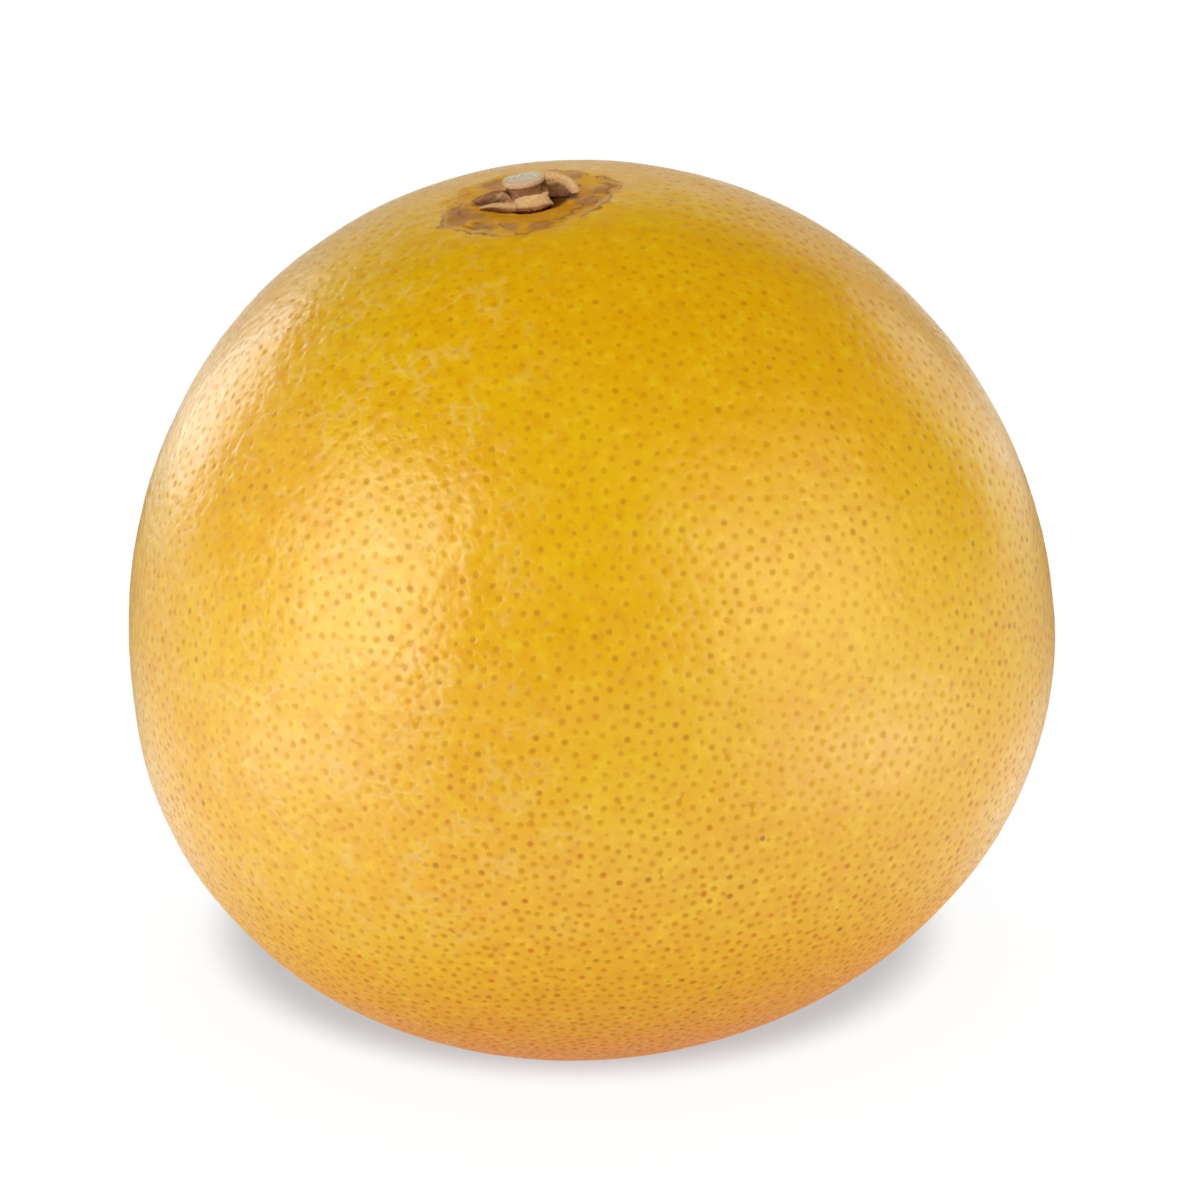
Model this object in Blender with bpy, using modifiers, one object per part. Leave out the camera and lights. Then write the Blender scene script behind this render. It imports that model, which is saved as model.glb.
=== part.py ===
"""A whole grapefruit, resting on a small flat spot with its stem end up.

Metres, +Z up, front towards -Y. The origin is on the resting plane, under the middle of the fruit's
width and depth. The fruit is one solid grown round its stem axis, which leans a little to the left
and to the front. The dried calyx stands in a shallow pocket at the stem end, and the cut stub of the
stalk stands on the calyx.
"""

import math
import random
from collections import namedtuple

import bmesh
import bpy
from mathutils import Matrix, Vector

# Whole fruit: sizes are measured from its centre, along and across the stem axis
EQUATOR_RADIUS = 0.0542
CROWN_HEIGHT = 0.0574  # centre to stem end, before the basin sinks it
BASE_HEIGHT = 0.0495  # centre to blossom end
CROWN_FULLNESS = 2.10  # 2 is an ellipse, more is squarer
BASE_FULLNESS = 1.96
LEAN_LEFT = math.radians(6.5)
LEAN_FRONT = math.radians(6.5)

# Low lobes that keep the fruit from being round: depth, and the direction of one high side
TWO_LOBES, TWO_LOBES_TURN = 0.0008, math.radians(-8)
THREE_LOBES, THREE_LOBES_TURN = 0.0011, math.radians(-16)

# Stem end, blossom end and resting place
BASIN_DEPTH, BASIN_RADIUS = 0.0013, 0.0080
BLOSSOM_SCAR_DEPTH, BLOSSOM_SCAR_RADIUS = 0.0006, 0.0022
FLAT_SPOT_DEPTH = 0.0005  # how much of the roundness the flat spot takes off
FLAT_SPOT_SNAP = 0.00012  # corners this near the resting plane are moved onto it

# Oil pits: far fewer, wider and deeper than life, so that the solid shows them. One is sunk in each
# triangle of the peel's grid, except round the stem end and the resting place, where the grid is finer
GRID_CUTS = 6  # cuts on each edge of the icosahedron that the grid grows from
GRID_JITTER = 0.14  # of a grid edge
PIT_RADIUS, PIT_DEPTH = 0.0015, 0.0006
FINE_CUTS = 2
FINE_AT_STEM, FINE_AT_REST = math.radians(12), math.radians(10)
PEEL_SEED = 7

# Calyx: heights are measured along the stem axis from the floor of the basin
GAP = 0.0003  # clearance between neighbouring pieces
CALYX_RADIUS = 0.0036
CALYX_TOP_RADIUS = 0.0030
CALYX_TOP = 0.0013
POCKET_DEPTH = 0.0007
ROUND_SIDES = 24
SEPAL_ROOT_RADIUS, SEPAL_ROOT_HEIGHT = 0.0026, 0.0006
SEPAL_CUTS = 3

# Stub of the stalk: a narrower neck under a head that was cut across
NECK_RADIUS = 0.0019
HEAD_RADIUS = 0.0024
HEAD_HEIGHT = 0.00045
STUB_TOP = 0.0030
STUB_ROUND = 0.88  # its depth over its width
STUB_OFFSET_LEFT = 0.0005

# A sepal rises from the calyx through its crest and ends at its tip. Lengths are in metres. Turns are in
# degrees about the stem axis, from the right side, at the root and at the tip. One of the five sepals is split.
Sepal = namedtuple(
    "Sepal", "root_turn tip_turn crest_radius crest_height tip_radius tip_height root_width tip_width thickness"
)
SEPALS = (
    Sepal(52, 0, 0.0038, 0.0027, 0.0058, 0.0010, 0.0034, 0.0022, 0.0008),
    Sepal(-24, -22, 0.0034, 0.0012, 0.0044, 0.0008, 0.0026, 0.0018, 0.0007),
    Sepal(-88, -88, 0.0032, 0.0016, 0.0046, 0.0009, 0.0044, 0.0046, 0.0008),
    Sepal(-152, -150, 0.0038, 0.0013, 0.0054, 0.0009, 0.0024, 0.0028, 0.0006),
    Sepal(172, 170, 0.0039, 0.0020, 0.0068, 0.0010, 0.0040, 0.0020, 0.0008),
    Sepal(118, 112, 0.0036, 0.0019, 0.0052, 0.0011, 0.0034, 0.0024, 0.0007),
)

# Base colour, roughness and metallic value of each piece
PEEL_LOOK = ((0.80, 0.50, 0.03, 1.0), 0.42, 0.0)
CALYX_LOOK = ((0.36, 0.22, 0.11, 1.0), 0.85, 0.0)
STUB_LOOK = ((0.52, 0.43, 0.29, 1.0), 0.90, 0.0)


def clear_scene():
    """Removes whatever the file opened with."""
    for obj in list(bpy.data.objects):
        bpy.data.objects.remove(obj)


def new_collection(name):
    collection = bpy.data.collections.new(name)
    bpy.context.scene.collection.children.link(collection)
    return collection


def material(name, look):
    """A plain Principled material."""
    colour, roughness, metallic = look
    made = bpy.data.materials.new(name)
    made.use_nodes = True
    shader = made.node_tree.nodes["Principled BSDF"]
    shader.inputs["Base Color"].default_value = colour
    shader.inputs["Roughness"].default_value = roughness
    shader.inputs["Metallic"].default_value = metallic
    made.diffuse_color = colour
    return made


def mesh_object(name, bm, collection, parent=None):
    """An object made from a bmesh, which is freed."""
    mesh = bpy.data.meshes.new(name)
    bm.normal_update()
    bm.to_mesh(mesh)
    bm.free()
    obj = bpy.data.objects.new(name, mesh)
    obj.parent = parent
    collection.objects.link(obj)
    return obj


def apply_modifiers(obj):
    """Keeps the shape that the modifiers make, and drops the modifiers."""
    graph = bpy.context.evaluated_depsgraph_get()
    mesh = bpy.data.meshes.new_from_object(obj.evaluated_get(graph))
    obj.modifiers.clear()
    obj.data = mesh


def stem_axis_turn():
    """The rotation from the fruit's own frame, with the stem axis up, to the leaning fruit."""
    left, front = math.sin(LEAN_LEFT), math.sin(LEAN_FRONT)
    up = Vector((-left, -front, math.sqrt(1 - left**2 - front**2)))
    right = Vector((0, 1, 0)).cross(up).normalized()
    return Matrix((right, up.cross(right), up)).transposed()


def peel_point(direction):
    """The point of the peel, without its pits, in a direction from the fruit's centre."""
    across = math.hypot(direction.x, direction.y)
    turn = math.atan2(direction.y, direction.x)
    end, fullness = (CROWN_HEIGHT, CROWN_FULLNESS) if direction.z > 0 else (BASE_HEIGHT, BASE_FULLNESS)
    along_part = (abs(direction.z) / end) ** fullness
    across_part = (across / EQUATOR_RADIUS) ** fullness
    radius = (along_part + across_part) ** (-1 / fullness)
    radius += TWO_LOBES * across**2 * math.cos(2 * (turn - TWO_LOBES_TURN))
    radius += THREE_LOBES * across**3 * math.cos(3 * (turn - THREE_LOBES_TURN))
    from_axis = radius * across
    if direction.z > 0:
        radius -= BASIN_DEPTH * math.exp(-((from_axis / BASIN_RADIUS) ** 2))
    else:
        radius -= BLOSSOM_SCAR_DEPTH * math.exp(-((from_axis / BLOSSOM_SCAR_RADIUS) ** 2))
    return direction * radius


def jitter(bm, rng):
    """Moves each corner of the unit sphere's grid a little along the sphere."""
    moves = []
    for vert in bm.verts:
        reach = GRID_JITTER * min(edge.calc_length() for edge in vert.link_edges)
        moves.append(Vector([rng.uniform(-reach, reach) for _ in range(3)]))
    for vert, move in zip(bm.verts, moves):
        vert.co = (vert.co + move).normalized()


def refine(bm, direction, reach):
    """Cuts up the unit sphere's triangles that lie within an angle of a direction."""
    inside = [edge for edge in bm.edges if all(vert.co.angle(direction) < reach for vert in edge.verts)]
    bmesh.ops.subdivide_edges(bm, edges=inside, cuts=FINE_CUTS, use_grid_fill=True)
    bmesh.ops.triangulate(bm, faces=[face for face in bm.faces if len(face.verts) > 3])


def mark_pits(bm, bare):
    """Sets a small three-sided hollow in each triangle clear of the bare places, and returns their middles."""
    faces = [
        face
        for face in bm.faces
        if all(vert.co.angle(direction) > reach for direction, reach in bare for vert in face.verts)
    ]
    bmesh.ops.inset_individual(bm, faces=faces, thickness=PIT_RADIUS / EQUATOR_RADIUS / 2)
    for face in faces:
        middle = face.calc_center_median()
        for vert in face.verts:
            vert.co = middle + (vert.co - middle).normalized() * PIT_RADIUS / EQUATOR_RADIUS
    return bmesh.ops.poke(bm, faces=faces)["verts"]


def cut_flat_spot(bm, turn, height):
    """Cuts the fruit's own mesh at a level of the leaning fruit, and closes it there."""
    normal = turn.inverted() @ Vector((0, 0, 1))
    cut = bmesh.ops.bisect_plane(
        bm,
        geom=bm.verts[:] + bm.edges[:] + bm.faces[:],
        dist=FLAT_SPOT_SNAP,
        plane_co=normal * height,
        plane_no=normal,
        use_snap_center=True,
        clear_inner=True,
    )
    rim = [item for item in cut["geom_cut"] if isinstance(item, bmesh.types.BMEdge)]
    bmesh.ops.contextual_create(bm, geom=rim)
    bmesh.ops.triangulate(bm, faces=[face for face in bm.faces if len(face.verts) > 3])


def fruit_mesh(turn):
    """The peel's closed mesh in its own frame, with its flat spot, and the flat spot's level."""
    bm = bmesh.new()
    bmesh.ops.create_icosphere(bm, subdivisions=1, radius=1.0)
    bmesh.ops.subdivide_edges(bm, edges=bm.edges[:], cuts=GRID_CUTS, use_grid_fill=True)
    for vert in bm.verts:
        vert.co.normalize()
    jitter(bm, random.Random(PEEL_SEED))
    stem = Vector((0, 0, 1))
    rest = min((vert.co.copy() for vert in bm.verts), key=lambda point: (turn @ peel_point(point)).z)
    refine(bm, stem, FINE_AT_STEM)
    refine(bm, rest, FINE_AT_REST)
    pits = mark_pits(bm, ((stem, FINE_AT_STEM), (rest, FINE_AT_REST)))
    for vert in bm.verts:
        vert.co = peel_point(vert.co.normalized())
    for vert in pits:
        vert.co *= 1 - PIT_DEPTH / vert.co.length
    level = min((turn @ vert.co).z for vert in bm.verts) + FLAT_SPOT_DEPTH
    cut_flat_spot(bm, turn, level)
    return bm, level


def centre_of_fruit(bm, turn, level):
    """Where the fruit's centre goes for the origin to lie under its middle, on the resting plane."""
    points = [turn @ vert.co for vert in bm.verts]
    middle_x = (min(point.x for point in points) + max(point.x for point in points)) / 2
    middle_y = (min(point.y for point in points) + max(point.y for point in points)) / 2
    return Vector((-middle_x, -middle_y, -level))


def pocket_cutter(cutters, stem_end):
    """The cutter of the shallow pocket that the calyx stands in."""
    depth = POCKET_DEPTH + CALYX_TOP
    bm = bmesh.new()
    bmesh.ops.create_cone(
        bm,
        cap_ends=True,
        segments=ROUND_SIDES,
        radius1=CALYX_RADIUS + GAP,
        radius2=CALYX_RADIUS + GAP,
        depth=depth,
        matrix=Matrix.Translation((0, 0, depth / 2 - POCKET_DEPTH)),
    )
    cutter = mesh_object("calyx_pocket", bm, cutters, stem_end)
    cutter.hide_render = True
    cutter.display_type = "WIRE"
    return cutter


def calyx_base():
    """The thick disc that the sepals grow from."""
    bottom = GAP - POCKET_DEPTH
    depth = CALYX_TOP - bottom
    bm = bmesh.new()
    bmesh.ops.create_cone(
        bm,
        cap_ends=True,
        segments=ROUND_SIDES,
        radius1=CALYX_RADIUS,
        radius2=CALYX_TOP_RADIUS,
        depth=depth,
        matrix=Matrix.Translation((0, 0, bottom + depth / 2)),
    )
    return bm


def spine_point(sepal, along):
    """Distance from the stem axis and height of a sepal's middle line, from 0 at its root to 1 at its tip."""
    root = Vector((SEPAL_ROOT_RADIUS, SEPAL_ROOT_HEIGHT))
    crest = Vector((sepal.crest_radius, sepal.crest_height))
    tip = Vector((sepal.tip_radius, sepal.tip_height))
    pull = 2 * crest - (root + tip) / 2
    return (1 - along) ** 2 * root + 2 * along * (1 - along) * pull + along**2 * tip


def sepal_block(sepal):
    """A cube bent along the sepal's middle line, with rounded edges and a hollow back."""
    bm = bmesh.new()
    bmesh.ops.create_cube(bm, size=2.0)
    bmesh.ops.subdivide_edges(bm, edges=bm.edges[:], cuts=SEPAL_CUTS, use_grid_fill=True)
    for vert in bm.verts:
        along = (vert.co.x + 1) / 2
        side, level = vert.co.y, vert.co.z
        width = sepal.root_width + (sepal.tip_width - sepal.root_width) * along
        thickness = sepal.thickness * (1.3 - 0.5 * along) * (1 - 0.45 * side**2)
        radius, height = spine_point(sepal, along)
        height += level * thickness / 2 - 0.10 * width * side**2
        point = Vector((radius, side * width / 2 * (1 - 0.12 * level**2), height))
        turn = math.radians(sepal.root_turn + (sepal.tip_turn - sepal.root_turn) * along)
        vert.co = Matrix.Rotation(turn, 3, "Z") @ point
    return bm


def build_calyx(collection, cutters, stem_end):
    """The base disc with its sepals, joined into one solid."""
    calyx = mesh_object("calyx", calyx_base(), collection, stem_end)
    sepals = bpy.data.collections.new("sepals")
    cutters.children.link(sepals)
    for number, sepal in enumerate(SEPALS, 1):
        mesh_object(f"sepal_{number}", sepal_block(sepal), sepals, stem_end)
    join = calyx.modifiers.new("join_sepals", "BOOLEAN")
    join.operation = "UNION"
    join.operand_type = "COLLECTION"
    join.collection = sepals
    join.solver = "EXACT"
    apply_modifiers(calyx)
    for obj in list(sepals.objects):
        bpy.data.objects.remove(obj)
    bpy.data.collections.remove(sepals)
    calyx.data.shade_smooth()
    calyx.data.set_sharp_from_angle(angle=math.radians(50))
    calyx.data.materials.append(material("dry_calyx", CALYX_LOOK))
    return calyx


def build_stub(collection, stem_end):
    """The cut end of the stalk, turned round its own axis and a little oval."""
    bottom = CALYX_TOP + GAP
    neck_top = STUB_TOP - HEAD_HEIGHT
    profile = ((0, STUB_TOP), (HEAD_RADIUS, STUB_TOP), (HEAD_RADIUS, neck_top),
               (NECK_RADIUS, (neck_top + bottom) / 2), (NECK_RADIUS, bottom), (0, bottom))
    bm = bmesh.new()
    corners = [bm.verts.new((radius, 0, height - bottom)) for radius, height in profile]
    for start, end in zip(corners, corners[1:]):
        bm.edges.new((start, end))
    stub = mesh_object("stem_stub", bm, collection, stem_end)
    stub.location = (-STUB_OFFSET_LEFT, 0, bottom)
    stub.scale = (1, STUB_ROUND, 1)
    turned = stub.modifiers.new("turn", "SCREW")
    turned.steps = ROUND_SIDES
    turned.render_steps = ROUND_SIDES
    turned.use_merge_vertices = True
    turned.merge_threshold = 0.00001
    apply_modifiers(stub)
    stub.data.shade_smooth()
    stub.data.set_sharp_from_angle(angle=math.radians(40))
    stub.data.materials.append(material("cut_stalk", STUB_LOOK))
    return stub


def build_fruit(collection, cutters):
    """The whole fruit, and the empties at its centre and at its stem end."""
    turn = stem_axis_turn()
    bm, level = fruit_mesh(turn)
    centre = bpy.data.objects.new("fruit_centre", None)
    centre.location = centre_of_fruit(bm, turn, level)
    centre.rotation_euler = turn.to_euler()
    stem_end = bpy.data.objects.new("stem_end", None)
    stem_end.parent = centre
    stem_end.location = (0, 0, CROWN_HEIGHT - BASIN_DEPTH)
    for empty in (centre, stem_end):
        empty.empty_display_size = 0.01
        collection.objects.link(empty)
    fruit = mesh_object("fruit", bm, collection, centre)
    bpy.context.view_layer.update()
    pocket = fruit.modifiers.new("calyx_pocket", "BOOLEAN")
    pocket.operation = "DIFFERENCE"
    pocket.object = pocket_cutter(cutters, stem_end)
    pocket.solver = "EXACT"
    fruit.data.shade_smooth()
    fruit.data.set_sharp_from_angle(angle=math.radians(30))
    fruit.data.materials.append(material("peel", PEEL_LOOK))
    return fruit, stem_end


def main():
    clear_scene()
    collection = new_collection("grapefruit")
    cutters = new_collection("grapefruit_cutters")
    _, stem_end = build_fruit(collection, cutters)
    build_calyx(collection, cutters, stem_end)
    build_stub(collection, stem_end)


main()
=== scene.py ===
"""Looks of a whole grapefruit: its peel, its dry calyx and the stub of its stalk, on a pale lit table.

Peel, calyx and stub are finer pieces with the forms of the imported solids, and each replaces its solid.
Lengths are in metres. The fruit's own frame has its origin at the fruit's centre and +Z along the stem
axis. The stem frame has the same axes, and its origin on the floor of the basin at the stem end.
"""

import math
import random
from collections import namedtuple

import bmesh
import bpy
import numpy as np
from mathutils import Matrix, Vector, noise
from mathutils.geometry import delaunay_2d_cdt


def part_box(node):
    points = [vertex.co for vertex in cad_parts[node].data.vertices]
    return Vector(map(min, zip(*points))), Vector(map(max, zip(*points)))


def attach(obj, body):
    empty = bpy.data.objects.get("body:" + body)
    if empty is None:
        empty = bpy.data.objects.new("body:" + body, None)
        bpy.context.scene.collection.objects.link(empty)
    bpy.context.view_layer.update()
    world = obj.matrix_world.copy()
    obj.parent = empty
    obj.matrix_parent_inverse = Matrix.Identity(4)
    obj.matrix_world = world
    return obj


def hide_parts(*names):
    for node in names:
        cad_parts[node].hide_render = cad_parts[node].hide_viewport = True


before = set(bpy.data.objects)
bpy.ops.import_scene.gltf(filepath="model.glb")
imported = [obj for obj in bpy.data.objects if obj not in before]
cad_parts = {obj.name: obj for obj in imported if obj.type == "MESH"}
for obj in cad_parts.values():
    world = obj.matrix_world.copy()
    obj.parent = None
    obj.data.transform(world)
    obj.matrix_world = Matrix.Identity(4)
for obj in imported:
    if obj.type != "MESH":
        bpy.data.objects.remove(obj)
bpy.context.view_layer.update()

# Whole fruit: sizes are measured from its centre, along and across the stem axis
EQUATOR_RADIUS = 0.0542
CROWN_HEIGHT = 0.0574
BASE_HEIGHT = 0.0495
CROWN_FULLNESS = 2.10
BASE_FULLNESS = 1.96
LEAN_LEFT = math.radians(6.5)
LEAN_FRONT = math.radians(6.5)
TWO_LOBES, TWO_LOBES_TURN = 0.0008, math.radians(-8)
THREE_LOBES, THREE_LOBES_TURN = 0.0011, math.radians(-16)
BASIN_DEPTH, BASIN_RADIUS = 0.0013, 0.0080
BLOSSOM_SCAR_DEPTH, BLOSSOM_SCAR_RADIUS = 0.0006, 0.0022
FLAT_SPOT_DEPTH = 0.0005
FLAT_SPOT_BLEND = 0.00025  # softness of the flat spot's edge
OUTLINE_SAMPLES = 60000  # directions that find the fruit's outermost points

# Oil pores: the least distance between neighbours near the stem end and near the blossom end
PORE_SPACING_TOP, PORE_SPACING_BASE = 0.00146, 0.00117
FAINT_SPACING = 0.80  # of a strong pore's spacing, for the faint ones that fill the gaps
PORE_RADIUS, FAINT_PORE_RADIUS = 0.00057, 0.00046
PORE_SIDES, FAINT_PORE_SIDES = 5, 4
PORE_DEPTH = 0.00011
STRONG_FORCE, FAINT_FORCE = (0.62, 0.95), (0.48, 0.80)  # least and most share of the full depth and colour
FORCE_BY_STEM = 0.35  # what is left of it close to the stem end
PORE_MISSES, FINE_MISSES = 36000, 9000  # tries that fail before the peel, or its fine grid, counts as full
PORE_RELAX = 0.35  # how far each pore moves towards the middle of its neighbours
STILL_CAP = 0.998  # cosine of the cap round the lowest point where pores stay as scattered
PORES_START = 0.0098  # distance from the stem axis
PORES_FULL = 0.0200
PEEL_SEED = 11

# Fine grid round the stem end, and the small fan that closes the mesh under the fruit
FINE_REACH, FINE_SPACING = 0.0112, 0.00030
FAN_RADIUS, FAN_SIDES = 0.0011, 18

# Relief of the peel: size and depth of its swellings
SWELLINGS = ((0.0140, 0.00016), (0.0052, 0.00005), (0.0021, 0.000035))
CALM_AT_STEM = 0.35  # what is left of them at the stem end
RING_RADIUS = 0.0103  # mean radius of the corky scar round the stem end
RING_STEP = 0.00010
LIP_HEIGHT, LIP_WIDTH = 0.00009, 0.00045  # along the scar's outline
CREASE_DEPTH, CREASE_INNER, CREASE_OUTER = 0.00055, 0.0023, 0.0034  # sunken skin under the calyx
RIM_RADIUS, RIM_HEIGHT, RIM_WIDTH = 0.0052, 0.00010, 0.0004  # low rim round the calyx
FOLD_COUNT, FOLD_HEIGHT = 11, 0.00003
SCAR_OUTLINE = (  # turn in degrees from the right, and distance from the stem axis
    (-172, 0.0105), (-154, 0.0113), (-128, 0.0097), (-96, 0.0111), (-73, 0.0098), (-40, 0.0088),
    (-12, 0.0091), (12, 0.0108), (35, 0.0096), (66, 0.0101), (120, 0.0098), (168, 0.0105),
)
SCAR_PATCHES = (  # where the scar is browned: to the right, to the back, and reach
    (-0.0090, -0.0036, 0.0021), (-0.0085, -0.0008, 0.0018), (-0.0063, -0.0026, 0.0012),
    (-0.0054, -0.0064, 0.0014), (-0.0024, -0.0070, 0.0010), (0.0012, -0.0079, 0.0015),
    (0.0068, -0.0018, 0.0017), (0.0083, 0.0011, 0.0014), (0.0046, 0.0075, 0.0018), (-0.0040, 0.0070, 0.0020),
)
SCAR_LINES = (  # broken dark lines: distance outside the outline, size of their gaps, and where gaps fade out
    (0.0, 0.0030, 0.44, 0.52), (-0.0012, 0.0022, 0.50, 0.57), (-0.0024, 0.0026, 0.50, 0.57),
)

# Calyx and stub, in the stem frame
CALYX_RADIUS = 0.0023
CALYX_TOP_RADIUS = 0.0022
CALYX_TOP = 0.0013
CALYX_BOTTOM = -0.0004
SEPAL_ROOT_RADIUS = 0.0024
NECK_RADIUS = 0.0019
HEAD_RADIUS = 0.0024
HEAD_HEIGHT = 0.00055
STUB_TOP = 0.0032
STUB_ROUND = 0.88
STUB_OFFSET_LEFT = 0.0005
STUB_SIDES = 120
STUB_FACE_BACK, STUB_FACE_ROUND = 0.0007, 0.66  # the grey part of the cut face: how far back, and how flat
SEPAL_CUTS = 17
CALYX_VOXEL = 0.00011

Sepal = namedtuple(
    "Sepal",
    "root_turn tip_turn root_height crest_radius crest_height tip_radius tip_height"
    " root_width tip_width thickness pale fill",
)
SEPALS = (  # pale: of its upper side; fill: how much of the hollow under its root is closed
    Sepal(66, -2, 0.0022, 0.0037, 0.0025, 0.0058, 0.0014, 0.0030, 0.0026, 0.0005, 0.95, 1.0),
    Sepal(-84, -84, 0.0014, 0.0026, 0.0015, 0.0031, 0.0006, 0.0034, 0.0062, 0.0007, 1.00, 0.3),
    Sepal(-138, -173, 0.0005, 0.0043, 0.0009, 0.0059, 0.0003, 0.0026, 0.0004, 0.0004, 0.70, 1.0),
    Sepal(-164, -176, 0.0010, 0.0030, 0.0017, 0.0041, 0.0009, 0.0018, 0.0007, 0.0005, 0.35, 1.0),
    Sepal(166, 173, 0.0006, 0.0040, 0.0013, 0.0069, 0.0005, 0.0042, 0.0006, 0.0006, 0.08, 1.0),
    Sepal(118, 112, 0.0006, 0.0036, 0.0018, 0.0050, 0.0010, 0.0034, 0.0024, 0.0007, 0.40, 0.8),
)

# Camera: the photo's, from a little above, with the fruit's centre left of and below the middle
CAMERA_ELEVATION = math.radians(20)
CAMERA_DISTANCE = 0.50
SENSOR_WIDTH = 0.036
METRES_PER_PIXEL = 0.0001202  # at the fruit's centre
IMAGE_PIXELS = 1200
AIM_RIGHT, AIM_UP = 0.0016, 0.0048


def unit(turn, rise):
    """The direction at an angle round from the front, towards the right, and at a rise above level."""
    return Vector((math.sin(turn) * math.cos(rise), -math.cos(turn) * math.cos(rise), math.sin(rise)))


def stem_axis_turn():
    """The rotation from the fruit's own frame, with the stem axis up, to the leaning fruit."""
    left, front = math.sin(LEAN_LEFT), math.sin(LEAN_FRONT)
    up = Vector((-left, -front, math.sqrt(1 - left**2 - front**2)))
    right = Vector((0, 1, 0)).cross(up).normalized()
    return Matrix((right, up.cross(right), up)).transposed()


def peel_points(directions):
    """The points of the smooth peel in an array of directions from the fruit's centre."""
    across = np.hypot(directions[:, 0], directions[:, 1])
    turn = np.arctan2(directions[:, 1], directions[:, 0])
    crown = directions[:, 2] > 0
    end = np.where(crown, CROWN_HEIGHT, BASE_HEIGHT)
    fullness = np.where(crown, CROWN_FULLNESS, BASE_FULLNESS)
    lengthways, sideways = np.abs(directions[:, 2]) / end, across / EQUATOR_RADIUS
    radius = (lengthways**fullness + sideways**fullness) ** (-1 / fullness)
    radius += TWO_LOBES * across**2 * np.cos(2 * (turn - TWO_LOBES_TURN))
    radius += THREE_LOBES * across**3 * np.cos(3 * (turn - THREE_LOBES_TURN))
    from_axis = radius * across
    basin = BASIN_DEPTH * np.exp(-((from_axis / BASIN_RADIUS) ** 2))
    scar = BLOSSOM_SCAR_DEPTH * np.exp(-((from_axis / BLOSSOM_SCAR_RADIUS) ** 2))
    radius -= np.where(crown, basin, scar)
    return directions * radius[:, None]


def even_directions(count):
    """Directions spread evenly over the sphere, along a spiral."""
    rise = 1 - 2 * (np.arange(count) + 0.5) / count
    turn = math.pi * (3 - math.sqrt(5)) * np.arange(count)
    level = np.sqrt(1 - rise**2)
    return np.stack([level * np.cos(turn), level * np.sin(turn), rise], 1)


def place_fruit(turn):
    """The fruit's centre in the row's frame, and the direction of its lowest point in its own frame."""
    directions = even_directions(OUTLINE_SAMPLES)
    points = peel_points(directions) @ np.array(turn).T
    low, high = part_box("fruit")
    middle = (points.min(0) + points.max(0)) / 2
    lowest = points[:, 2].argmin()
    centre = Vector(((low.x + high.x) / 2 - middle[0], (low.y + high.y) / 2 - middle[1],
                     low.z - points[lowest, 2] - FLAT_SPOT_DEPTH))
    return centre, Vector(directions[lowest])


TURN = stem_axis_turn()
CENTRE, LOWEST = place_fruit(TURN)
FRUIT_MATRIX = Matrix.Translation(CENTRE) @ TURN.to_4x4()
STEM_MATRIX = FRUIT_MATRIX @ Matrix.Translation((0, 0, CROWN_HEIGHT - BASIN_DEPTH))
STUB_MATRIX = STEM_MATRIX @ Matrix.Translation((-STUB_OFFSET_LEFT, 0, 0))


# Peel mesh


def pore_spacing(rise):
    """The least distance between strong pores at a rise from -1, the blossom end, to 1, the stem end."""
    share = (rise + 1) / 2
    return PORE_SPACING_BASE + (PORE_SPACING_TOP - PORE_SPACING_BASE) * share**1.5


def scatter(rng, spacing, placed, lowest_rise, misses):
    """Random directions that keep their distance from each other and from those already placed."""
    cell = max(spacing(-1), spacing(1)) / EQUATOR_RADIUS
    grid = {}

    def key(point):
        return tuple(int(value // cell) for value in point)

    for point in placed:
        grid.setdefault(key(point), []).append(point)
    found = []
    missed = 0
    around = [(i, j, k) for i in (-1, 0, 1) for j in (-1, 0, 1) for k in (-1, 0, 1)]
    while missed < misses:
        rise = rng.uniform(lowest_rise, 1)
        turn = rng.uniform(-math.pi, math.pi)
        level = math.sqrt(1 - rise * rise)
        x, y = level * math.cos(turn), level * math.sin(turn)
        reach = (spacing(rise) / EQUATOR_RADIUS) ** 2
        i, j, k = key((x, y, rise))
        near = (
            (x - point[0]) ** 2 + (y - point[1]) ** 2 + (rise - point[2]) ** 2 < reach
            for a, b, c in around
            for point in grid.get((i + a, j + b, k + c), ())
        )
        if any(near):
            missed += 1
            continue
        found.append((x, y, rise))
        grid.setdefault((i, j, k), []).append((x, y, rise))
    return found


def rings(middles, radii, sides, rng):
    """Corners of a small ring round each direction, one after another."""
    up = np.where(np.abs(middles[:, 2:3]) < 0.9, [[0.0, 0.0, 1.0]], [[1.0, 0.0, 0.0]])
    side = np.cross(up, middles)
    side /= np.linalg.norm(side, axis=1, keepdims=True)
    other = np.cross(middles, side)
    start = rng.uniform(0, 2 * math.pi, len(middles))[:, None]
    turn = start + np.arange(sides)[None] * 2 * math.pi / sides
    reach = (radii / EQUATOR_RADIUS)[:, None, None]
    corners = middles[:, None] + reach * (
        np.cos(turn)[..., None] * side[:, None] + np.sin(turn)[..., None] * other[:, None]
    )
    corners = corners.reshape(-1, 3)
    return corners / np.linalg.norm(corners, axis=1, keepdims=True)


def join_directions(directions, pole):
    """Triangles that join directions over the sphere, flattened from a pole that has to lie in a gap."""
    up = -pole
    side = up.orthogonal().normalized()
    flat = directions @ np.array([side, up.cross(side), up]).T
    flat = flat[:, :2] / (1 + flat[:, 2:3])
    made = delaunay_2d_cdt([Vector(point) for point in flat.tolist()], [], [], 0, 1e-9, False)
    return np.array(made[2])


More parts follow.
